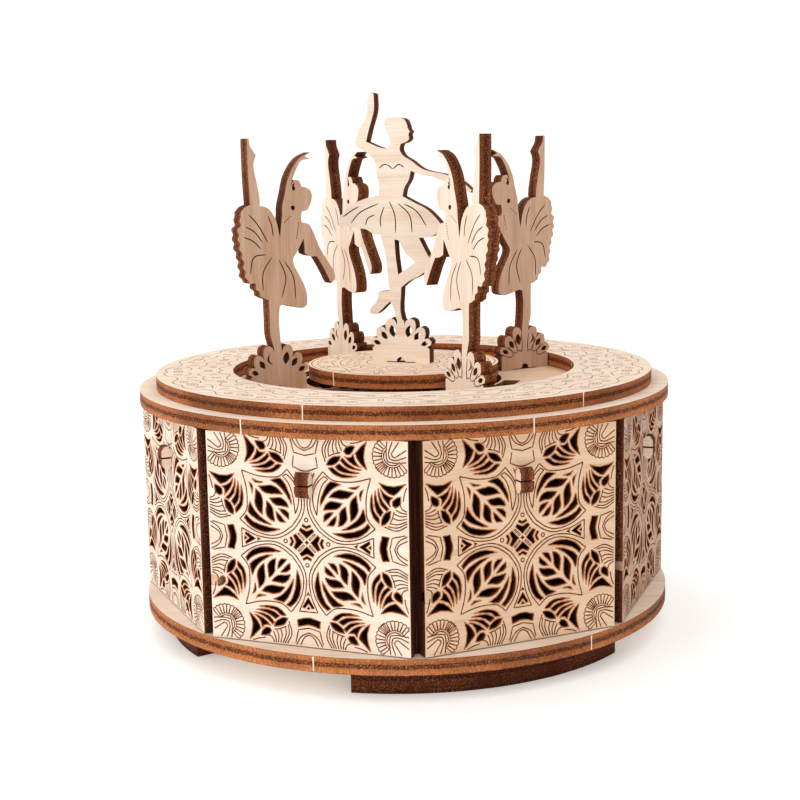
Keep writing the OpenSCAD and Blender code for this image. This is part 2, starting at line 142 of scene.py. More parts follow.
def eight_ways(line):
    """The line and its mirror images over both axes and both diagonals."""
    made = []
    for a in (1, -1):
        for b in (1, -1):
            made.append([Vector((a * p[0], b * p[1])) for p in line])
            made.append([Vector((a * p[1], b * p[0])) for p in line])
    return made


def turned(line, angle, middle=(0, 0)):
    """The line turned about a point, angle in degrees."""
    turn = Matrix.Rotation(radians(angle), 2)
    centre = Vector(middle)
    return [turn @ (Vector(p) - centre) + centre for p in line]


def shifted(line, dx, dy):
    return [Vector((p[0] + dx, p[1] + dy)) for p in line]


# ---- from flat lines to solids ------------------------------------------------


def cut_plate(loops, thickness):
    """Plate in the XY plane, underside at z 0; the first loop is its outline, the others are holes."""
    flat = bpy.data.curves.new("outline", "CURVE")
    flat.dimensions = "2D"
    flat.fill_mode = "BOTH"
    flat.extrude = thickness / 2
    for loop in loops:
        run = flat.splines.new("POLY")
        run.points.add(len(loop) - 1)
        for knot, spot in zip(run.points, loop):
            knot.co = (spot[0], spot[1], 0, 1)
        run.use_cyclic_u = True
    holder = bpy.data.objects.new("outline", flat)
    mesh = bpy.data.meshes.new_from_object(holder)
    bpy.data.objects.remove(holder)
    solid = bmesh.new()
    solid.from_mesh(mesh)
    bmesh.ops.translate(solid, verts=solid.verts, vec=(0, 0, thickness / 2))
    bmesh.ops.remove_doubles(solid, verts=solid.verts, dist=0.001)
    bmesh.ops.recalc_face_normals(solid, faces=solid.faces)
    for face in solid.faces:
        face.material_index = 0 if abs(face.normal.z) > 0.5 else 1
    solid.to_mesh(mesh)
    solid.free()
    return mesh


def scorched(lines, width=0.3, proud=0.035):
    """Scorched lines as flat closed strips on z 0, each given by its points and True if it closes."""
    strip = bpy.data.curves.new("scorch", "CURVE")
    strip.dimensions = "3D"
    strip.bevel_depth = width / 2
    strip.bevel_resolution = 0
    strip.use_fill_caps = True
    for line, closes in lines:
        run = strip.splines.new("POLY")
        run.points.add(len(line) - 1)
        for knot, spot in zip(run.points, line):
            knot.co = (spot[0], spot[1], 0, 1)
        run.use_cyclic_u = closes
    holder = bpy.data.objects.new("scorch", strip)
    mesh = bpy.data.meshes.new_from_object(holder)
    bpy.data.objects.remove(holder)
    mesh.transform(Matrix.Scale(2 * proud / width, 4, (0, 0, 1)))
    solid = bmesh.new()
    solid.from_mesh(mesh)
    bmesh.ops.remove_doubles(solid, verts=solid.verts, dist=0.0005)
    bmesh.ops.recalc_face_normals(solid, faces=solid.faces)
    solid.to_mesh(mesh)
    solid.free()
    return mesh


def stand(at, right, up=(0, 0, 1)):
    """Placement that puts a flat piece's origin at a point, its x along right and its y along up."""
    across = Vector(right).normalized()
    upward = Vector(up).normalized()
    out = across.cross(upward)
    turn = Matrix((across, upward, out)).transposed().to_4x4()
    return Matrix.Translation(at) @ turn


def lift(z):
    return Matrix.Translation((0, 0, z))


def piece(name, parts, body, finishes, stands_for=(), grain=0):
    """Joins parts, each a mesh in mm with its placement, into one object that rides on a body.
    Grain is the angle in degrees of the veneer's fibres on the sheet."""
    shape = bmesh.new()
    shape.verts.layers.float_vector.new("sheet")
    lie = Matrix.Rotation(radians(-grain), 3, "Z")
    for mesh, placement in parts:
        known = len(shape.verts)
        shape.from_mesh(mesh)
        shape.verts.ensure_lookup_table()
        sheet = shape.verts.layers.float_vector["sheet"]
        shift = Vector((chance.uniform(0, 900), chance.uniform(0, 900), 0))
        for corner in shape.verts[known:]:
            corner[sheet] = lie @ corner.co + shift
            corner.co = placement @ corner.co * MM
    mesh = bpy.data.meshes.new(name)
    shape.to_mesh(mesh)
    shape.free()
    mesh.shade_smooth()
    mesh.set_sharp_from_angle(angle=radians(38))
    for finish in finishes:
        mesh.materials.append(finish)
    made = bpy.data.objects.new(name, mesh)
    bpy.context.scene.collection.objects.link(made)
    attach(made, body)
    if stands_for:
        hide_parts(*stands_for)
    return made


# ---- finishes -----------------------------------------------------------------


def tone(code):
    """An sRGB hex colour as linear RGBA."""
    parts = [int(code[i : i + 2], 16) / 255 for i in (0, 2, 4)]
    return [c / 12.92 if c <= 0.04045 else ((c + 0.055) / 1.055) ** 2.4 for c in parts] + [1]


def add(tree, kind, inputs=None, **settings):
    """Adds a node with its settings; an input is a value or another node's output socket."""
    made = tree.nodes.new(kind)
    for name, value in settings.items():
        setattr(made, name, value)
    for name, value in (inputs or {}).items():
        if isinstance(value, bpy.types.NodeSocket):
            tree.links.new(value, made.inputs[name])
        else:
            made.inputs[name].default_value = value
    return made


def shades(tree, value, stops):
    """A colour ramp over a value; each stop is a place and an sRGB hex colour."""
    made = add(tree, "ShaderNodeValToRGB", {0: value})
    ramp = made.color_ramp
    while len(ramp.elements) > 1:
        ramp.elements.remove(ramp.elements[0])
    for number, (place, code) in enumerate(stops):
        if number == 0:
            stop = ramp.elements[0]
            stop.position = place
        else:
            stop = ramp.elements.new(place)
        stop.color = tone(code)
    return made.outputs["Color"]


def start(name):
    """A new material's tree and its shader."""
    made = bpy.data.materials.new(name)
    made.use_nodes = True
    tree = made.node_tree
    return made, tree, tree.nodes["Principled BSDF"]


def in_millimetres(tree, from_sheet):
    """Place on the sheet, or in the box, in millimetres."""
    if from_sheet:
        return add(tree, "ShaderNodeAttribute", attribute_name="sheet").outputs["Vector"]
    place = add(tree, "ShaderNodeTexCoord").outputs["Object"]
    scaled = add(tree, "ShaderNodeVectorMath", {0: place, "Scale": 1000.0}, operation="SCALE")
    return scaled.outputs["Vector"]


def noise(tree, place, scale, detail, **more):
    """Noise with each axis of the place scaled by itself, which draws it out into fibres or streaks."""
    drawn = add(tree, "ShaderNodeMapping", {"Vector": place, "Scale": scale}, vector_type="POINT")
    inputs = {"Vector": drawn.outputs["Vector"], "Scale": 1.0, "Detail": detail, **more}
    return add(tree, "ShaderNodeTexNoise", inputs).outputs[0]


def worked(tree, operation, *values):
    """The result of one sum on values, each a number or an output socket."""
    return add(tree, "ShaderNodeMath", dict(enumerate(values)), operation=operation).outputs[0]


def eased(tree, value, low, high, start_at, end_at):
    """A number that goes from start_at to end_at as the value goes from low to high."""
    inputs = {0: value, "From Min": low, "From Max": high, "To Min": start_at, "To Max": end_at}
    return add(tree, "ShaderNodeMapRange", inputs).outputs[0]


def mixed_colour(tree, share, under, over):
    """One colour over another by a share from 0 to 1."""
    return add(tree, "ShaderNodeMix", {0: share, 6: under, 7: over}, data_type="RGBA").outputs[2]


def mixed_number(tree, share, under, over):
    """One number over another by a share from 0 to 1."""
    return add(tree, "ShaderNodeMix", {0: share, 2: under, 3: over}, data_type="FLOAT").outputs[0]


def upward(tree):
    """How far the surface faces up: 1 on top, 0 on an upright side and -1 below."""
    facing = add(tree, "ShaderNodeNewGeometry").outputs["True Normal"]
    return add(tree, "ShaderNodeSeparateXYZ", {0: facing}).outputs["Z"]


def face_grain(tree, place, tones):
    """Sanded birch veneer: fibres 0.4 mm across and 12 mm long, slow bands, and short dark pores."""
    fibre = noise(tree, place, (0.09, 2.4, 0.6), 5.0, Roughness=0.6)
    bands = noise(tree, place, (0.02, 0.22, 0.1), 3.0, Distortion=0.6)
    pores = noise(tree, place, (0.7, 7.0, 2.0), 2.0)
    average = worked(tree, "MULTIPLY", worked(tree, "ADD", fibre, bands), 0.5)
    wood = shades(tree, average, [(0.34, tones[0]), (0.47, tones[1]), (0.6, tones[2])])
    pore = eased(tree, pores, 0.64, 0.74, 0.0, 0.35)
    return mixed_colour(tree, pore, wood, tone(tones[3])), fibre


# plies of a burnt edge from the sheet's underside, 0, to its top, 1
RIM_PLIES = [(0.0, "8A4522"), (0.05, "CC8049"), (0.35, "BE6C3A"), (0.41, "54220E"), (0.56, "642C14"),
             (0.62, "3A1608"), (0.67, "AA5E30"), (0.93, "C47642"), (1.0, "8E4A28")]
CUT_PLIES = [(0.0, "3A1608"), (0.08, "8E4826"), (0.35, "763A1D"), (0.42, "421C0C"), (0.58, "4C2210"),
             (0.66, "361508"), (0.7, "70361B"), (0.93, "8E4A29"), (1.0, "4C2210")]
# the fronts' thin walls: burnt brown plies, with painted shade going near black towards the inner face, deep
# in the openings
WALL_PLIES_AND_PAINTED_SHADE = [(0.0, "120502"), (0.35, "220B05"), (0.55, "35140A"), (0.8, "642E16"), (0.95, "96532E"),
              (1.0, "7A3F20")]
FOOT_PLIES = [(0.0, "1A0703"), (0.25, "2C0E06"), (0.3, "5A2812"), (0.45, "451B0C"), (0.5, "2A0D05"),
              (0.56, "612C15"), (0.8, "4E210F"), (0.9, "6B341A"), (1.0, "331206")]


def burnt_plies(tree, place, thickness, bottom, palette, char):
    """Laser-burnt edge: plies by their height in the sheet, fine grit, and long charred stretches.
    Char is the share of black everywhere, from 0 to 0.5."""
    split = add(tree, "ShaderNodeSeparateXYZ", {0: place})
    height = worked(tree, "SUBTRACT", split.outputs["Z"], bottom)
    layer = worked(tree, "DIVIDE", height, thickness)
    wander = noise(tree, place, (0.5, 0.5, 0.15), 3.0)
    nudged = worked(tree, "MULTIPLY_ADD", wander, 0.22, layer)
    within = worked(tree, "FRACT", worked(tree, "SUBTRACT", nudged, 0.11))
    plies = shades(tree, within, palette)
    grit = add(
        tree, "ShaderNodeTexNoise", {"Vector": place, "Scale": 2.4, "Detail": 3.0, "Roughness": 0.8}
    )
    spark = eased(tree, grit.outputs[0], 0.5, 0.68, 0.0, 0.75 - char)
    glint = mixed_colour(tree, spark, plies, tone("EBA870"))
    streak = noise(tree, place, (2.6, 2.6, 1.4), 4.0, Roughness=0.7)
    burn = eased(tree, streak, 0.46, 0.7, 0.0, 0.75)
    charred = mixed_colour(tree, burn, glint, tone("47190A"))
    slow = noise(tree, place, (0.035, 0.035, 0.02), 2.0)
    long_burn = eased(tree, slow, 0.4, 0.62, char, char + 0.45)
    return mixed_colour(tree, long_burn, charred, tone("3A1207")), streak


def finish_wood(tree, shader, colour, height, roughness, depth, sheen=0.3):
    """Sets a wood's colour, a fine relief of the given depth in mm, and how much it shines."""
    relief = add(tree, "ShaderNodeBump", {"Height": height, "Strength": 0.6, "Distance": depth * MM})
    tree.links.new(colour, shader.inputs["Base Color"])
    tree.links.new(relief.outputs[0], shader.inputs["Normal"])
    shader.inputs["Roughness"].default_value = roughness
    shader.inputs["IOR"].default_value = 1.5
    shader.inputs["Specular IOR Level"].default_value = sheen


# tones of birch veneer: three from dark to pale, and the pores
PALE = ("DFC4AB", "EBD5C0", "F2E1CF", "C9A17C")
HONEY = ("E4C5A6", "F1D6B9", "F8E3CB", "CB9F77")
# the warm tone also serves as painted shade, for a front turned away from the light
WARM_TONE_AND_PAINTED_SHADE = ("D3AD8A", "E0BD9C", "E8C9AA", "B98A60")
# the deep tone is painted shade, for faces turned away from the light; the deck has it as its darker tone
DEEP_TONE_AND_PAINTED_SHADE = ("B58E70", "C39D82", "CEAC93", "9E7450")
INNER = ("C29C73", "D2AF88", "DDBE99", "A67C52")
BARE = ("E9CFAE", "F1DEC4", "F7EAD8", "DDBB90")


def veneer(name, tones):
    """Sanded plywood face: pale, silky, with fibres lying along the sheet's x."""
    made, tree, shader = start(name)
    colour, height = face_grain(tree, in_millimetres(tree, True), tones)
    finish_wood(tree, shader, colour, height, 0.58, 0.05)
    return made


def laser_edge(name, thickness, palette, char):
    """Laser-cut plywood edge: burnt brown plies with a charred core, dull."""
    made, tree, shader = start(name)
    place = in_millimetres(tree, True)
    colour, height = burnt_plies(tree, place, thickness, 0.0, palette, char)
    finish_wood(tree, shader, colour, height, 0.75, 0.12, 0.08)
    return made


def whole_plate(name, bottom, thickness, tones, char):
    """Level plywood plate: sanded veneer on top and below, burnt plies round its cut edges."""
    made, tree, shader = start(name)
    place = in_millimetres(tree, False)
    pale, fibres = face_grain(tree, place, tones)
    burnt, streaks = burnt_plies(tree, place, thickness, bottom, RIM_PLIES, char)
    flat = worked(tree, "GREATER_THAN", worked(tree, "ABSOLUTE", upward(tree)), 0.7)
    colour = mixed_colour(tree, flat, burnt, pale)
    finish_wood(tree, shader, colour, mixed_number(tree, flat, streaks, fibres), 0.66, 0.08, 0.12)
    return made


def upright_plate(name, tones, rim=None):
    """Plywood walls: veneer on their sides, burnt on top, and burnt where they end beyond a rim radius."""
    made, tree, shader = start(name)
    place = in_millimetres(tree, False)
    pale, fibres = face_grain(tree, place, tones)
    streaks = noise(tree, place, (1.6, 1.6, 0.06), 4.0, Roughness=0.6)
    burnt = shades(tree, streaks, [(0.35, "220A05"), (0.5, "3A140A"), (0.64, "5E2A15"), (0.75, "7A4022")])
    split = add(tree, "ShaderNodeSeparateXYZ", {0: place})
    level = worked(tree, "GREATER_THAN", upward(tree), 0.7)
    above = worked(tree, "GREATER_THAN", split.outputs["Z"], TRAY_FLOOR_TOP)
    cut = worked(tree, "MULTIPLY", level, above)
    if rim:
        flat = add(tree, "ShaderNodeCombineXYZ", {"X": split.outputs["X"], "Y": split.outputs["Y"]})
        reach = add(tree, "ShaderNodeVectorMath", {0: flat.outputs[0]}, operation="LENGTH")
        beyond = worked(tree, "GREATER_THAN", reach.outputs["Value"], rim)
        cut = worked(tree, "MAXIMUM", cut, beyond)
    finish_wood(tree, shader, mixed_colour(tree, cut, pale, burnt), fibres, 0.7, 0.06, 0.1)
    return made


def scorch_mark(name, dark, middle, light):
    """Laser-engraved line: scorched brown, uneven where the beam slowed, matt."""
    made, tree, shader = start(name)
    place = in_millimetres(tree, False)
    patch = add(tree, "ShaderNodeTexNoise", {"Vector": place, "Scale": 0.9, "Detail": 4.0}).outputs[0]
    colour = shades(tree, patch, [(0.36, dark), (0.5, middle), (0.66, light)])
    finish_wood(tree, shader, colour, patch, 0.85, 0.02, 0.05)
    return made


def stained_board_with_painted_shade(name):
    """Black-stained backing board, made darker still as painted shade in the recesses behind the fronts:
    faint fibres under the stain and a slight gloss.
    """
    made, tree, shader = start(name)
    fibre = noise(tree, in_millimetres(tree, False), (1.2, 1.2, 0.12), 5.0)
    colour = shades(tree, fibre, [(0.35, "070302"), (0.55, "0F0604"), (0.75, "1C0C07")])
    finish_wood(tree, shader, colour, fibre, 0.5, 0.03, 0.12)
    return made


def charred_arc(name):
    """Feet of two glued plies: edges burnt almost black, with browner veneer lines."""
    made, tree, shader = start(name)
    place = in_millimetres(tree, False)
    burnt, streaks = burnt_plies(tree, place, BASE_AT / 2, 0.0, FOOT_PLIES, 0.3)
    finish_wood(tree, shader, burnt, streaks, 0.7, 0.12, 0.08)
    return made


def metal(name, dark, light, roughness, spacing):
    """Turned or rolled metal: fine tool lines of the given spacing in mm, satin."""
    made, tree, shader = start(name)
    lines = noise(tree, in_millimetres(tree, False), (0.2, 0.2, 1 / spacing), 3.0)
    colour = shades(tree, lines, [(0.35, dark), (0.65, light)])
    relief = add(tree, "ShaderNodeBump", {"Height": lines, "Strength": 0.4, "Distance": 0.02 * MM})
    tree.links.new(colour, shader.inputs["Base Color"])
    tree.links.new(relief.outputs[0], shader.inputs["Normal"])
    shader.inputs["Metallic"].default_value = 1.0
    shader.inputs["Roughness"].default_value = roughness
    return made


birch_face = veneer("birch_plywood_sanded", PALE)
# darker veneers as painted shade for faces turned away from the light; the warm one is also a plain warm
# sheet
birch_warm_and_painted_shade = veneer("birch_plywood_sanded_warm_sheet_and_painted_shade", WARM_TONE_AND_PAINTED_SHADE)
birch_painted_shade = veneer("birch_plywood_sanded_painted_shade", DEEP_TONE_AND_PAINTED_SHADE)
# walls of the fronts' openings: burnt edge, with painted shade deeper in
edge_thin_and_painted_shade = laser_edge("birch_plywood_3mm_laser_cut_openings_and_painted_shade", 3.0, WALL_PLIES_AND_PAINTED_SHADE, 0.25)
edge_thick = laser_edge("birch_plywood_4mm_laser_edge", PLY, CUT_PLIES, 0.15)
scorch = scorch_mark("birch_laser_engraved", "4A200E", "733D20", "9E6238")
light_scorch = scorch_mark("birch_laser_engraved_lightly", "7C4524", "9C6036", "BC7F50")
rim_scorch = scorch_mark("birch_laser_scorched_rim", "8A4A26", "AC6A40", "CC8F62")
uncut = veneer("birch_uncut_bridge", BARE)
board = stained_board_with_painted_shade("backing_board_black_stained_and_painted_shade")
feet_wood = charred_arc("birch_plywood_charred_feet")
divider_wood = upright_plate("birch_plywood_dividers", INNER, DIVIDER_END_R)
tray_wood = upright_plate("birch_plywood_trays", INNER)
brass = metal("brass_turned_satin", "B08A3C", "D9B866", 0.32, 0.15)
steel = metal("spring_steel_rolled", "7E8084", "B4B6BA", 0.35, 0.12)
base_wood = whole_plate("birch_plywood_base_plate", BASE_AT, BASE_THICK, PALE, 0.0)
flange_wood = whole_plate("birch_plywood_flange_plate", FLANGE_AT, PLY, PALE, 0.03)
ring_wood = whole_plate("birch_plywood_top_ring", RING_AT, PLY, PALE, 0.1)
disc_wood = whole_plate("birch_plywood_disc", DISC_AT, PLY, HONEY, 0.08)
deck_wood = whole_plate("birch_plywood_deck", DECK_AT, PLY, DEEP_TONE_AND_PAINTED_SHADE, 0.4)
turn_wood = whole_plate("birch_plywood_turntable", TURNTABLE_AT, TURNTABLE_THICK, WARM_TONE_AND_PAINTED_SHADE, 0.4)
gear_wood = whole_plate("birch_plywood_gears", GEARS_AT, TURNTABLE_THICK, WARM_TONE_AND_PAINTED_SHADE, 0.4)
wheel_wood = whole_plate("birch_plywood_winding_wheel", WHEEL_AT, PLY, WARM_TONE_AND_PAINTED_SHADE, 0.3)

carried = {
    "base_plate": base_wood,
    "gear_deck": deck_wood,
    "flange_plate": flange_wood,
    "top_ring": ring_wood,
    "centre_disc": disc_wood,
    "dancer_ring": turn_wood,
    "ring_gear": gear_wood,
    "sun_gear": gear_wood,
    "idler_gear_1": gear_wood,
    "idler_gear_2": gear_wood,
    "winding_wheel": wheel_wood,
    "feet": feet_wood,
    "dividers": divider_wood,
    "core_wall": divider_wood,
    "movement_plate": brass,
    "spring_barrel": brass,
    "drive_gear": brass,
    "tune_cylinder": brass,
    "governor": brass,
    "mainspring": steel,
    "comb": steel,
    "idler_pins": steel,
    "arbor": steel,
}
for k in range(1, 9):
    carried["drawer_lining_%d" % k] = board
    carried["drawer_tray_%d" % k] = tray_wood
for name, finish in carried.items():
    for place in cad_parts[name].material_slots:
        place.material = finish

# ---- pierced drawer fronts ----------------------------------------------------

HALF_W = 28.85
HALF_H = 28.7
FRONT_OUT = 74.62
FRONT_THICK = 3.0
FRONT_MIDDLE = 41.0
PULL_UP = 15.8
SLOT_HALF_W = 2.05
SLOT_HALF_H = 2.75
LINE_END = 28.4

MEDALLION = [
    [(6.6, 12.7), (8.0, 14.2), (9.8, 14.9), (11.8, 14.7), (13.8, 14.5), (12.3, 13.0), (10.5, 12.5),
     (8.6, 12.6)],
    [(5.0, 9.1), (5.5, 10.5), (7.2, 11.7), (8.8, 11.6), (10.6, 11.4), (9.6, 10.2), (8.7, 9.6), (6.8, 9.4)],
    [(5.0, 5.9), (5.0, 7.6), (5.9, 8.4), (8.0, 8.8), (6.6, 7.2)],
    [(7.2, 17.0), (8.6, 16.8), (10.3, 16.3), (8.2, 15.3), (6.2, 13.4), (5.0, 11.6), (4.1, 10.0), (4.3, 11.9),
     (5.1, 14.1), (6.2, 16.0)],
    [(12.2, 15.6), (13.8, 15.9), (15.5, 16.5), (14.7, 15.5), (13.6, 15.3)],
]
CRESCENT = [(5.4, 18.2), (6.5, 17.6), (5.0, 16.0), (3.9, 13.2), (3.4, 10.4), (3.1, 7.5), (2.3, 9.8),
            (2.0, 12.3), (2.8, 15.3), (4.0, 17.0)]
TULIP = [
    [(14.3, 26.7), (13.2, 26.8), (11.9, 26.4), (11.1, 25.2), (11.7, 24.4), (12.8, 24.4), (13.6, 25.2)],
    [(6.1, 21.3), (6.9, 22.8), (8.3, 23.7), (10.3, 24.0), (9.8, 22.7), (8.5, 21.6), (7.3, 21.2)],
    [(17.7, 28.3), (17.0, 26.0), (16.8, 23.5), (17.6, 20.6), (15.9, 22.0), (14.8, 23.5), (14.3, 24.9),
     (15.2, 25.9), (16.4, 27.1)],
    [(11.2, 23.9), (12.2, 23.7), (13.1, 23.9), (13.8, 24.7), (14.2, 23.3), (15.0, 22.0), (16.2, 21.1),
     (14.5, 21.5), (12.9, 22.3)],
    [(10.1, 22.7), (10.7, 23.6), (12.0, 22.3), (13.8, 21.2), (16.3, 20.5), (14.0, 20.5), (11.8, 21.1)],
    [(8.5, 21.0), (9.8, 21.9), (11.4, 20.8), (13.4, 20.1), (15.6, 19.7), (13.6, 19.4), (11.2, 19.5),
     (9.6, 20.1)],
    [(6.6, 20.6), (8.0, 20.7), (9.6, 19.5), (12.0, 19.0), (14.8, 18.8), (12.4, 18.3), (10.2, 18.3),
     (8.2, 19.0)],
]
WINDOW = [(-3.2, 23.4), (0, 22.7), (3.2, 23.4), (3.4, 21.4), (0, 20.6), (-3.4, 21.4)]
ARROW = [(0, 14.9), (1.8, 17.9), (1.0, 18.1), (0, 16.8), (-1.0, 18.1), (-1.8, 17.9)]
TIP = [(0, 13.4), (0.6, 14.6), (0, 14.3), (-0.6, 14.6)]
POINT = [(0, 17.4), (0.6, 18.3), (-0.6, 18.3)]
KITE = [(0, 1.05), (2.2, 3.15), (1.65, 3.9), (0, 3.15), (-1.65, 3.9), (-2.2, 3.15)]
CHEVRON = [(0, 3.65), (1.35, 4.35), (1.1, 5.0), (0, 4.5), (-1.1, 5.0), (-1.35, 4.35)]
STUD = [(0, 0.55), (0.55, 0), (0, -0.55), (-0.55, 0)]


def beside_pull(line):
    """True for the two crescents beside the pull, which are only engraved."""
    return sum(p[1] for p in line) > sum(abs(p[0]) for p in line)


def front_holes():
    """Every opening of the pierced front."""
    holes = []
    for cell in MEDALLION + TULIP:
        holes += eight_ways(flowing(cell, sharp=42))
    holes += [line for line in eight_ways(flowing(CRESCENT, sharp=42)) if not beside_pull(line)]
    for quarter in (90, 180, 270):
        holes.append(turned(flowing(WINDOW), quarter))
        holes.append(turned(ARROW, quarter))
        holes.append(turned(TIP, quarter))
        holes.append(turned(POINT, quarter))
    for quarter in (0, 90, 180, 270):
        holes.append(turned(KITE, quarter))
        holes.append(turned(CHEVRON, quarter))
    holes.append(STUD)
    holes.append([(-SLOT_HALF_W, PULL_UP - SLOT_HALF_H), (SLOT_HALF_W, PULL_UP - SLOT_HALF_H),
                  (SLOT_HALF_W, PULL_UP + SLOT_HALF_H), (-SLOT_HALF_W, PULL_UP + SLOT_HALF_H)])
    return holes


def front_lines():
    """Every scorched line of the drawer front."""
    lines = []

    def all_round(line, closes=False):
        kept = [(min(p[0], LINE_END), min(p[1], LINE_END)) for p in line]
        for copy in eight_ways(kept):
            lines.append((copy, closes))

    # outline of the medallion, half of it as it is mirrored over the diagonal
    half_ring = [(5.1, 19.5), (2.6, 16.1), (1.4, 12.6), (1.3, 9.3), (2.3, 6.8), (4.2, 4.2)]
    all_round(flowing(half_ring, closed=False))
    upper_ring = [(5.1, 19.5), (7.5, 17.5), (10.0, 17.1), (14.0, 17.3), (18.5, 18.5)]
    all_round(flowing(upper_ring, closed=False))
    # outer line, from the wedge at one side of the front to the wedge at the next
    half_wedge = [(2.7, 19.0), (1.0, 15.0), (0.5, 12.2), (0.4, 10.2), (0.7, 8.2), (1.7, 6.0), (3.5, 3.5)]
    all_round(flowing(half_wedge, closed=False))
    for quarter in (90, 180, 270):
        lines.append((turned([(-2.7, 19.0), (2.7, 19.0)], quarter), False))
    for line in eight_ways(flowing(CRESCENT, sharp=42)):
        if beside_pull(line):
            lines.append((line, True))
    # rings and link bars about the middle
    for quarter in (0, 90, 180, 270):
        lines.append((turned(arc((0, 6.15), 0.5, 0, 330, 11), quarter), True))
        bar = [(0.65, 0.95), (2.2, 2.5), (2.4, 2.4), (2.5, 2.2), (0.95, 0.65)]
        lines.append((turned(bar, quarter), True))
    # sunburst in each corner
    sun = (24.6, 24.6)
    for number in range(8):
        angle = 228 - number * 13.2
        bar = [(2.9, -0.42), (5.3, -0.62), (5.6, 0.0), (5.3, 0.62), (2.9, 0.42)]
        line = shifted(turned(bar, angle), sun[0], sun[1])
        all_round(line, True)
    all_round(arc(sun, 2.4, 225, 125, 8))
    for far, near in ((23.2, 22.9), (24.6, 23.6), (26.4, 24.3)):
        all_round(flowing([(far, LINE_END), (near, 25.3), (near + 0.3, near + 0.3)], closed=False))
    # calyx stripes under each tulip
    stripes = [
        [(6.5, LINE_END), (5.1, 25.5), (5.9, 22.1)],
        [(7.2, LINE_END), (5.9, 25.5), (6.1, 23.0)],
        [(7.8, LINE_END), (6.8, 25.8), (6.9, 23.8)],
        [(8.5, LINE_END), (8.0, 26.0), (8.4, 24.5)],
        [(9.2, LINE_END), (9.0, 26.5), (9.6, 24.8)],
        [(9.8, LINE_END), (9.9, 27.0), (10.6, 25.3)],
        [(6.7, 23.6), (8.5, 24.4), (10.2, 24.8)],
        [(10.3, LINE_END), (11.0, 27.0), (12.5, 26.4)],
        [(13.0, 27.4), (14.8, 27.7), (16.7, LINE_END)],
    ]
    for stripe in stripes:
        all_round(flowing(stripe, closed=False))
    # arch in the middle of each side
    arches = [
        [(2.6, LINE_END), (1.2, 26.0), (0.0, 25.4)],
        [(3.8, LINE_END), (2.2, 25.9), (0.0, 24.8)],
        [(4.0, 27.8), (3.1, 24.2), (0.0, 23.5)],
    ]
    for arch in arches:
        all_round(flowing(arch, closed=False))
    # shield over the pull
    shield = [(-3.2, 23.3), (-3.6, 20.4), (0, 19.3), (3.6, 20.4), (3.2, 23.3)]
    lines.append((flowing(shield, closed=False), False))
    return lines


# notch in the front's left edge, where the tray's tenon shows
low = -14.1
high = -11.2
deep = -26.85
front_outline = [(-HALF_W, -HALF_H), (HALF_W, -HALF_H), (HALF_W, HALF_H), (-HALF_W, HALF_H),
                 (-HALF_W, high), (deep, high), (deep, low), (-HALF_W, low)]
front_mesh = cut_plate([front_outline] + front_holes(), FRONT_THICK)
line_mesh = scorched(front_lines(), 0.36)
rim_mesh = scorched([(hole, True) for hole in front_holes()], 0.3, 0.025)
# fronts 1 and 2, turned away from the light, get darker veneer as painted shade; front 4 is cut from a
# warmer sheet; the others are pale
front_faces = {1: birch_warm_and_painted_shade, 2: birch_painted_shade, 4: birch_warm_and_painted_shade}

# pull: a flat tongue whose split tip snaps through the front
half = 3.3
neck = 2.7
tip = 2.8
barb = tip - 2.2
nose = tip - 0.9
cheek = half - 1.3
split_half = 0.25
split_end = -5.8
plate_front = -6.0
plate_back = -12.0
plate_half = 4.6
tongue_outline = [(0, -neck), (barb, -neck), (barb, -half), (nose, -half), (tip, -cheek),
                  (tip, -split_half), (split_end, -split_half), (split_end, split_half),
                  (tip, split_half), (tip, cheek), (nose, half), (barb, half), (barb, neck),
                  (plate_front, neck), (plate_front, plate_half), (plate_back, plate_half),
                  (plate_back, -plate_half), (plate_front, -plate_half), (plate_front, -neck)]
tongue_mesh = cut_plate([tongue_outline], PLY)

for k in range(1, 9):
    heading = radians((k - 0.5) * 45 - 90)
    out = Vector((cos(heading), sin(heading), 0))
    right = Vector((0, 0, 1)).cross(out)
    inner_face = out * (FRONT_OUT - FRONT_THICK) + Vector((0, 0, FRONT_MIDDLE))
    front_place = stand(inner_face, right)
    piece("pierced_front_%d" % k, [(front_mesh, front_place)], "drawer_%d" % k,
          [front_faces.get(k, birch_face), edge_thin_and_painted_shade], stands_for=["drawer_front_%d" % k])
    piece("scorched_rims_%d" % k, [(rim_mesh, front_place @ lift(FRONT_THICK))], "drawer_%d" % k,
          [rim_scorch])
    piece("front_engraving_%d" % k, [(line_mesh, front_place @ lift(FRONT_THICK))], "drawer_%d" % k,
          [scorch])
    pull_at = out * FRONT_OUT + Vector((0, 0, FRONT_MIDDLE + PULL_UP)) + right * (PLY / 2)
    piece("split_pull_%d" % k, [(tongue_mesh, stand(pull_at, out))], "drawer_%d" % k,
          [birch_face, edge_thick], stands_for=["drawer_pull_%d" % k])

# ---- dancers ------------------------------------------------------------------

PETALS = [(7.7, 6.0, 66, 2.5), (5.3, 8.2, 38, 3.0), (2.6, 9.6, 12, 3.8)]


def petal_side(side):
    """One side's scalloped edge of the petal fan, from the block up to the dancer's leg."""
    edge = [(9.2, 0), (9.2, 4.4), (8.4, 5.0), (9.6, 5.6), (9.9, 6.6), (9.0, 7.6), (7.6, 7.4),
            (8.0, 8.6), (7.8, 10.3), (6.7, 11.0), (5.4, 10.6), (4.6, 9.6), (4.9, 11.4), (4.4, 13.0),
            (3.0, 13.6), (1.8, 12.8), (1.2, 11.4)]
    return [(side * x, y) for x, y in edge]


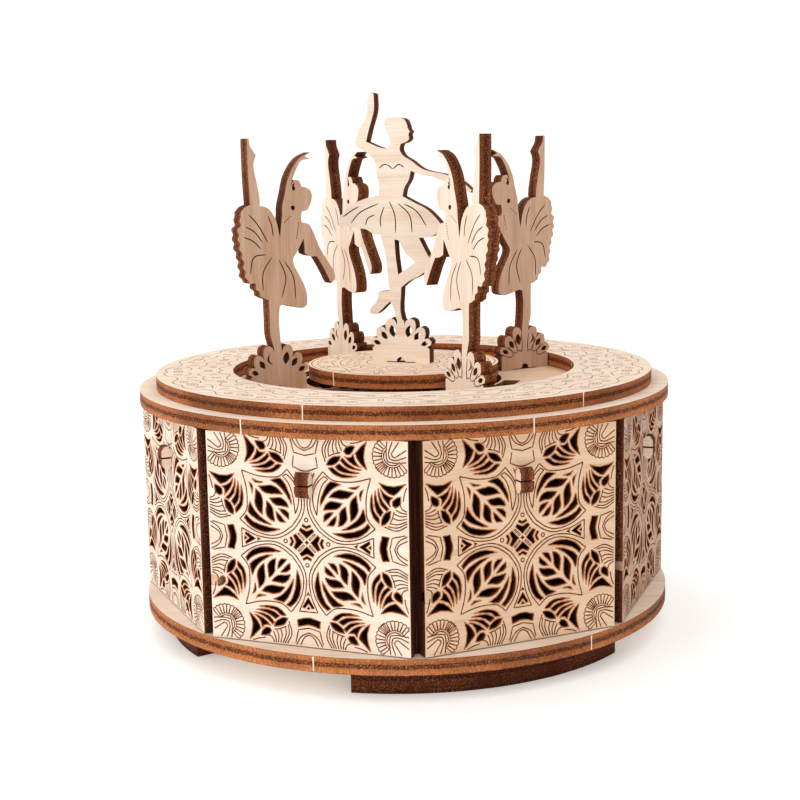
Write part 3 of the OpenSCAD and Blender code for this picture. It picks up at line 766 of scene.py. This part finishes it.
def frilled(line, wave=2.7, depth=0.3):
    """The tutu's back edge, the stretch far to the left of the leg, waved like gathered net."""
    made = [Vector(spot) for spot in line]
    run = 0.0
    for i in range(1, len(line) - 1):
        along = line[i + 1] - line[i - 1]
        run += (line[i] - line[i - 1]).length
        if line[i].x < -3.5 and 28 < line[i].y < 53:
            made[i] += Vector((-along.y, along.x)).normalized() * depth * sin(2 * pi * run / wave)
    return made


def petal_holes(crescent_side):
    """Eye-shaped openings of the petals; the big one beside the leg is a crescent on one side."""
    holes = []
    for side in (-1, 1):
        for x, y, lean, length in PETALS:
            w = length * 0.28
            eye = [(0, -length / 2), (w, 0), (0, length / 2), (-w, 0)]
            if length > 3.5 and side == crescent_side:
                eye = [(0.6, -length / 2), (-1.1, 0), (0.6, length / 2), (-0.4, 0)]
            line = turned(bowed(eye), -side * lean)
            holes.append(shifted(line, side * x, y))
    notch = [(4.6, 0.04), (4.6, 0.3)] + arc((0, 0.3), 1.4, 0, 180, 10) + [(-4.6, 0.3), (-4.6, 0.04)]
    return holes + [notch]


RING_BODY = [
    (-1.4, 13.0), (-2.3, 16.5), (-2.4, 21.5), (-2.5, 27),
    (-4, 27.5), (-5.2, 28.6), (-6.2, 30.2), (-7.1, 31.9), (-9, 32.6),
    (-9.9, 35.1), (-10.2, 37.6), (-10.5, 39.5), (-11.1, 41.4), (-11.5, 43.9),
    (-11.6, 47.6), (-10.8, 49.5), (-11, 51.4), (-10.4, 52.3), (-9.6, 53.6), (-7.6, 54.5),
    (-7.9, 61.4), (-8, 66.4), (-8, 73.1), (-7.4, 73.1), (-7.1, 71.1),
    (-6.1, 69.6), (-5.3, 68.3), (-6.1, 66.1), (-5.2, 60.1), (-4.5, 54.5),
    (-4.6, 54.1), (-3.3, 53.9), (-1.5, 53), (0.4, 50.2), (1.7, 44.8),
    (2.6, 51.4), (2.7, 53.3), (3.8, 57.6), (4.8, 61.4), (6, 63.9),
    (7.6, 66.1), (9.2, 67.6), (12.4, 69), (10.6, 67.9), (12.3, 67.1),
    (9.3, 66.6), (8.1, 65), (7.1, 63.2), (6.3, 61.3), (5.6, 59), (6.4, 60.6),
    (6.7, 61.2), (8.2, 61.1), (9, 60), (9.1, 59.2), (11, 58.8),
    (12.4, 57.6), (12.4, 55.1), (11, 52.3), (9.1, 52), (8.9, 49.8),
    (9.1, 48.9), (11.3, 48.3), (12.6, 46.4), (14.8, 41.4), (17.6, 37),
    (19.8, 33), (19.5, 31.4), (18.5, 30.6), (15.7, 35.8), (13.8, 38.8),
    (11.7, 39), (9.8, 39.8), (9.5, 44.2), (7.1, 40.3), (5.9, 38.4),
    (6, 37), (7.6, 33.9), (9.4, 30.4), (10.2, 27), (10.1, 24.8),
    (8.9, 24), (5.1, 24.5), (2, 25.3), (1, 25), (0.6, 21.4),
    (0.8, 16.4), (1.1, 13.0),
]
RING_SLITS = [
    [(-8.2, 51.7), (-5.5, 48.9), (-2.2, 43.4)],
    [(-2, 51.2), (-0.9, 48.3), (-0.5, 45.2)],
    [(-9.3, 48.3), (-6.6, 46.8), (-4, 43.6)],
    [(-10, 45.4), (-7, 44.1), (-4.6, 41.8)],
    [(-3, 40.1), (-6.8, 39.5), (-8.3, 34.8)],
    [(-1.2, 39.2), (-4, 35.1), (-4.3, 29.6)],
    [(1.2, 38.4), (3.2, 33.3), (1.8, 27.5)],
    [(2.9, 38), (5.7, 33.3), (6.3, 26.9)],
]


def dashes(start, end, count):
    """Short saw cuts in a row between two points."""
    a = Vector(start)
    b = Vector(end)
    step = (b - a) / count
    cuts = [[a + step * n, a + step * (n + 0.3), a + step * (n + 0.6)] for n in range(count)]
    return [slit(cut, 0.3, 2) for cut in cuts]


def dancer_loops(body, slits, tab_depth, crescent_side, frilly=False):
    """Outline and openings of a dancer on her petal base, with the tab that holds her."""
    holes = petal_holes(crescent_side)
    left = flowing(petal_side(-1), closed=False)
    right = flowing(petal_side(1), closed=False)
    figure = flowing(body, closed=False, steps=8 if frilly else 4)
    if frilly:
        figure = frilled(figure)
    tab = [(4, 0), (4, -tab_depth), (-4, -tab_depth), (-4, 0)]
    outline = left + figure + right[::-1] + tab
    return [outline] + holes + [slit(s) for s in slits]


ring_loops = dancer_loops(RING_BODY, RING_SLITS, TURNTABLE_THICK, -1, frilly=True)
ring_loops += dashes((3.2, 49.0), (5.7, 51.1), 5)
ring_loops += dashes((8.1, 48.9), (7.0, 43.9), 7)
for eye in (
    [(5.5, 53.6), (5.7, 52.9), (6.1, 52.4), (6.9, 52.9), (6.6, 53.9), (6.0, 53.8)],
    [(6.9, 60.4), (6.1, 59.4), (6.3, 58.0), (7.2, 58.6), (6.7, 59.5), (7.0, 60.0)],
):
    ring_loops.append(bowed(eye, 3))
ring_mesh = cut_plate(ring_loops, PLY)


def petal_engraving():
    """Outlines burnt round the petals, each a long U down to the block, and two lines beside the leg."""
    lines = []
    for side in (-1, 1):
        for x, y, lean, length in PETALS:
            low = -length / 2 - 2.0
            loop = [(-1.3, 0.4), (-1.25, -0.8), (-0.8, low + 0.5), (0, low), (0.8, low + 0.5),
                    (1.25, -0.8), (1.3, 0.4)]
            line = turned(flowing(loop, closed=False), -side * lean)
            lines.append((shifted(line, side * x, y), False))
        beside_leg = [(side * 1.5, 11.4), (side * 1.1, 8.5), (side * 1.2, 5.4)]
        lines.append((flowing(beside_leg, closed=False), False))
    return lines


petal_lines = scorched(petal_engraving(), 0.3)
for i in range(4):
    heading = radians(DANCER_ANGLE + 90 * i)
    out = Vector((cos(heading), sin(heading), 0))
    along = Matrix.Rotation(radians(DANCER_TURN), 3, "Z") @ out
    side = (-along).cross(Vector((0, 0, 1)))
    foot = out * DANCER_R + Vector((0, 0, TURNTABLE_AT + TURNTABLE_THICK)) - side * (PLY / 2)
    place = stand(foot, -along)
    # dancers 1 and 3 get the dark veneer as painted shade, on faces turned away from the light
    face = birch_painted_shade if i in (0, 2) else birch_face
    piece("tutu_dancer_%d" % (i + 1), [(ring_mesh, place)], "turntable",
          [face, edge_thick], stands_for=["ring_dancer_%d" % (i + 1)], grain=90)
    piece("petal_engraving_%d" % (i + 1), [(petal_lines, place)], "turntable", [scorch])

CENTRE_BODY = [
    (-1.1, 12.6), (-2.8, 18), (-3.3, 18.6), (-5, 17.1),
    (-6.6, 15.6), (-8.4, 14.5), (-10, 15), (-9.8, 16.2), (-7.4, 19),
    (-7, 21.5), (-3.4, 21.9), (-4.1, 28.4), (-4.4, 32.1), (-6, 38.8),
    (-8.1, 39), (-10.6, 40.4), (-15, 40.9), (-19.6, 41.6), (-19.8, 43.4),
    (-18.1, 45.3), (-15, 47.9), (-11.2, 49.5), (-6.4, 50.6), (-6.1, 53.4),
    (-6.9, 57.2), (-7.2, 60.3), (-8.7, 62.4), (-11.6, 64.4), (-13.6, 65.6),
    (-13.4, 67.2), (-11.9, 70.9), (-10, 73.7), (-9.4, 76.5), (-9.9, 78.6),
    (-9.1, 78.6), (-8.8, 80.4), (-8.1, 81), (-7.4, 80.6), (-7.4, 75.9),
    (-9.1, 70.3), (-10.1, 66.6), (-5.3, 64.7), (-3.1, 64.5), (-2.2, 66.4),
    (-3.4, 69.3), (-4.4, 72), (-3.4, 73.2), (-1.9, 73.5), (1, 73.4), (2.2, 72.9),
    (3.1, 71.1), (3.3, 70.2), (4, 69.3), (3.5, 68.7), (3.6, 67.2), (2.8, 66.4),
    (1, 65.8), (0.6, 64.3), (1.6, 62.4), (4, 60.9), (7.5, 58.4), (10, 57.6),
    (15, 56.6), (20, 54.4), (23, 51.9), (22.6, 51.2), (19, 53), (13.8, 54.9),
    (10, 56.2), (6.9, 56.8), (4, 57.8), (3.4, 55.3), (1.9, 52.8), (1.3, 50.3),
    (5, 48.4), (8.8, 46.5), (11.9, 43.7), (13.2, 42.1), (12.6, 40.2), (10.6, 38.4),
    (6.3, 37.9), (9, 32.8), (9.9, 31.4), (9.4, 29.4), (6.3, 26.5), (3.1, 25),
    (0.4, 22.9), (0.5, 13.4), (1.2, 12.6),
]
CENTRE_SLITS = [
    [(-18.1, 44.2), (-15.5, 45.9), (-12.8, 47.3)],
    [(-15.5, 42.3), (-12.8, 45.3), (-6.4, 48.2)],
    [(-10.8, 41.7), (-10, 43.7), (-7.8, 44.8)],
    [(-5.8, 41), (-5.9, 43.7), (-4.7, 47.2)],
    [(-3, 48.9), (-1.3, 44.7), (-1.1, 39.4)],
    [(-0.3, 48.3), (3.4, 44.7), (4.2, 39.5)],
    [(1.7, 48.1), (5.6, 45.9), (8.8, 41.3)],
    [(-6.1, 58.7), (-4.1, 59.8), (-1.6, 58.4)],
    [(-1.6, 58.4), (0.3, 59.7), (1.9, 58.8)],
]
centre_loops = dancer_loops(CENTRE_BODY, CENTRE_SLITS, PLY, 0)
between_legs = [(-1.5, 37.4), (-1.2, 32.1), (-0.5, 26.8), (5, 30.6), (1.9, 33.4), (-0.2, 37.2)]
centre_loops.append(flowing(between_legs))
centre_mesh = cut_plate(centre_loops, PLY)
heading = radians(CENTRE_HEADING)
across = Vector((cos(heading), sin(heading), 0))
out = across.cross(Vector((0, 0, 1)))
foot = Vector((0, 0, DISC_AT + PLY)) - out * (PLY / 2)
piece("leading_dancer", [(centre_mesh, stand(foot, across))], "spindle",
      [birch_face, edge_thick], stands_for=["centre_dancer"])

# ---- engraving of the round plates --------------------------------------------


def polar(points, heading):
    """Points given as degrees off a heading and a radius in mm."""
    turn = [radians(heading + p[0]) for p in points]
    return [Vector((p[1] * cos(a), p[1] * sin(a))) for p, a in zip(points, turn)]


def curl(middle, radius, start, turns, heading):
    """A spiral scroll in mm about a spot given as degrees and radius."""
    spot = polar([middle], heading)[0]
    count = int(10 * abs(turns)) + 2
    line = []
    for n in range(count):
        part = n / (count - 1)
        angle = radians(heading + start + 360 * turns * part)
        reach = radius * (1 - 0.78 * part)
        line.append(spot + Vector((reach * cos(angle), reach * sin(angle))))
    return line


def oval(middle, half_long, half_wide, heading):
    """An oval lying along the ring about a spot given as degrees and radius, half sizes in mm."""
    spot = polar([middle], heading)[0]
    lie = radians(heading + middle[0] + 90)
    along = Vector((cos(lie), sin(lie)))
    across = Vector((-along.y, along.x))
    line = []
    for n in range(14):
        a = 2 * pi * n / 14
        line.append(spot + along * half_long * cos(a) + across * half_wide * sin(a))
    return line


def ring_scrolls():
    """Scroll work of the top ring: sixteen stretches, each an eye with curls, between wavy borders."""
    lines = []
    for number in range(16):
        heading = 22.5 * number + 4
        for reach, size in ((68.4, 1.0), (59.4, 0.85)):
            lines.append((oval((0, reach), 2.7 * size, 1.3 * size, heading), True))
            lines.append((oval((0, reach), 1.1 * size, 0.5 * size, heading), True))
        for side in (1, -1):
            waves = [
                [(0, 71.6), (3, 72.6), (6.5, 71.8), (9, 69.8), (11.25, 69.4)],
                [(1.4, 65.6), (3.6, 64.6), (6.4, 65.6), (8.6, 67.0)],
                [(0, 55.0), (3.5, 56.4), (7, 55.6), (11.25, 53.6)],
                [(2.8, 60.8), (5.2, 62.6), (8.4, 62.4), (11.25, 61.2)],
            ]
            for wave in waves:
                mirrored = [(side * turn, reach) for turn, reach in wave]
                lines.append((flowing(polar(mirrored, heading), closed=False, steps=3), False))
            lines.append((curl((5.0 * side, 68.8), 1.6, 90, side * 1.3, heading), False))
            lines.append((curl((7.8 * side, 58.4), 1.6, -90, -side * 1.2, heading), False))
        lines.append((oval((11.25, 65.2), 0.7, 1.5, heading), True))
    return lines


def disc_scrolls():
    """Engraving of the centre disc: rings, a belt of long links with curls between, and an inner belt."""
    lines = []
    for radius in (28.1, 19.4, 11.2):
        lines.append((polar([(6 * n, radius) for n in range(60)], 0), True))
    for number in range(14):
        heading = number * 360 / 14 + 6
        link = [(-10.2, 24.0), (-7.4, 26.0), (0, 26.5), (7.4, 26.0), (10.2, 24.0), (7.4, 22.0),
                (0, 21.5), (-7.4, 22.0)]
        lines.append((polar(link, heading), True))
        for side in (1, -1):
            lines.append((curl((12.9, 24.0 + 2.2 * side), 1.0, 90 * side, side * 1.1, heading), False))
        lines.append((oval((12.9, 24.0), 0.5, 0.5, heading), True))
    for number in range(10):
        heading = 36 * number + 10
        bow = [(-18, 13.0), (-9, 16.6), (0, 17.6), (9, 16.6), (18, 13.0)]
        lines.append((flowing(polar(bow, heading), closed=False, steps=3), False))
        lines.append((oval((0, 14.4), 1.6, 0.8, heading), True))
        lines.append((oval((18, 16.8), 0.6, 0.6, heading), True))
    return lines


piece("ring_engraving", [(scorched(ring_scrolls(), 0.3), lift(RING_AT + PLY))], "case", [light_scorch])
piece("disc_engraving", [(scorched(disc_scrolls(), 0.3), lift(DISC_AT + PLY))], "spindle", [light_scorch])

# bridges left uncut by the laser: pale upright strips on the burnt rims
bridges = []
for number in range(3):
    sway = [chance.uniform(-0.1, 0.1) for n in range(8)]
    left_side = [(-0.2 + sway[n], PLY * n / 3) for n in range(4)]
    right_side = [(0.16 + sway[n + 4], PLY * n / 3) for n in range(4)]
    bridges.append(cut_plate([left_side + right_side[::-1]], 0.07))
# each rim: its pieces' name, body, radius in mm, bottom, 1 if it faces out, and its bridges' headings
rims = [
    ("flange_bridge", "case", PLATE_R, FLANGE_AT, 1, (-124.3, -67.1, 64.0, 152.0)),
    ("top_bridge", "case", TOP_R, RING_AT, 1, (-112.5, -52.0, 81.0)),
    ("opening_bridge", "case", OPENING_R, RING_AT, -1, (126.0, 1.0)),
    ("disc_bridge", "spindle", DISC_R, DISC_AT, 1, (-137.0, 48.0)),
    ("base_bridge", "case", PLATE_R, BASE_AT + (BASE_THICK - PLY) / 2, 1, (-110.1, -53.2, 109.0)),
]
count = 0
for name, body, radius, bottom, facing, headings in rims:
    for number, heading in enumerate(headings):
        turn = radians(heading)
        out = Vector((cos(turn), sin(turn), 0))
        right = Vector((0, 0, 1)).cross(out * facing)
        at = out * (radius - 0.05 * facing) + Vector((0, 0, bottom))
        piece("%s_%d" % (name, number + 1), [(bridges[count % 3], stand(at, right))], body, [uncut, uncut])
        count += 1

# ---- floor, light and camera --------------------------------------------------

FLOOR_HALF = 4.0
floor_shape = bmesh.new()
bmesh.ops.create_grid(floor_shape, x_segments=1, y_segments=1, size=FLOOR_HALF)
floor_mesh = bpy.data.meshes.new("floor")
floor_shape.to_mesh(floor_mesh)
floor_shape.free()
floor = bpy.data.objects.new("floor", floor_mesh)
bpy.context.scene.collection.objects.link(floor)
paper, tree, shader = start("paper_white_matt")
speck = add(tree, "ShaderNodeTexNoise", {"Scale": 40.0, "Detail": 2.0})
white = shades(tree, speck.outputs[0], [(0.3, "F6F6F5"), (0.7, "FAFAF9")])
tree.links.new(white, shader.inputs["Base Color"])
shader.inputs["Roughness"].default_value = 0.9
shader.inputs["Emission Color"].default_value = (1, 1, 1, 1)
shader.inputs["Emission Strength"].default_value = 0.18
floor_mesh.materials.append(paper)

world = bpy.data.worlds.new("studio")
world.use_nodes = True
# bright all round and brightest overhead, but dim from the right
sky = world.node_tree
toward = add(sky, "ShaderNodeSeparateXYZ", {0: add(sky, "ShaderNodeTexCoord").outputs["Generated"]})
around = eased(sky, toward.outputs["X"], 0.3, 0.8, 1.06, 0.03)
overhead = eased(sky, toward.outputs["Z"], 0.35, 0.8, 0.0, 1.0)
light = mixed_number(sky, overhead, around, 1.3)
# the uneven light falls on the box only; looked at directly, the backdrop is plain white
looked_at = add(sky, "ShaderNodeLightPath").outputs["Is Camera Ray"]
backdrop = mixed_number(sky, looked_at, light, 1.06)
sky.links.new(backdrop, sky.nodes["Background"].inputs["Strength"])
sky.nodes["Background"].inputs["Color"].default_value = (1, 1, 1, 1)
bpy.context.scene.world = world


def softbox(name, place, aim, size, power):
    """Square soft light at a place in metres, turned towards a point."""
    lamp = bpy.data.lights.new(name, "AREA")
    lamp.shape = "SQUARE"
    lamp.size = size
    lamp.energy = power
    made = bpy.data.objects.new(name, lamp)
    made.location = place
    made.rotation_euler = (Vector(aim) - Vector(place)).to_track_quat("-Z", "Y").to_euler()
    bpy.context.scene.collection.objects.link(made)


softbox("key_left", (-0.8, -0.7, 0.4), (0, 0, 0.06), 0.5, 1.6)

# the camera stands in front at the height of the dancers and looks a little down; metres and degrees
CAMERA_AT = (-0.01466, -0.44204, 0.14124)
CAMERA_PAN = -1.739
CAMERA_DROP = 9.521
CAMERA_ROLL = -0.949
lens = bpy.data.cameras.new("camera")
lens.lens = 65.49
lens.sensor_width = 36.0
camera = bpy.data.objects.new("camera", lens)
camera.matrix_world = (
    Matrix.Translation(CAMERA_AT)
    @ Matrix.Rotation(radians(CAMERA_PAN), 4, "Z")
    @ Matrix.Rotation(radians(90 - CAMERA_DROP), 4, "X")
    @ Matrix.Rotation(radians(CAMERA_ROLL), 4, "Z")
)
bpy.context.scene.collection.objects.link(camera)
bpy.context.scene.camera = camera
bpy.context.scene.view_settings.view_transform = "Standard"
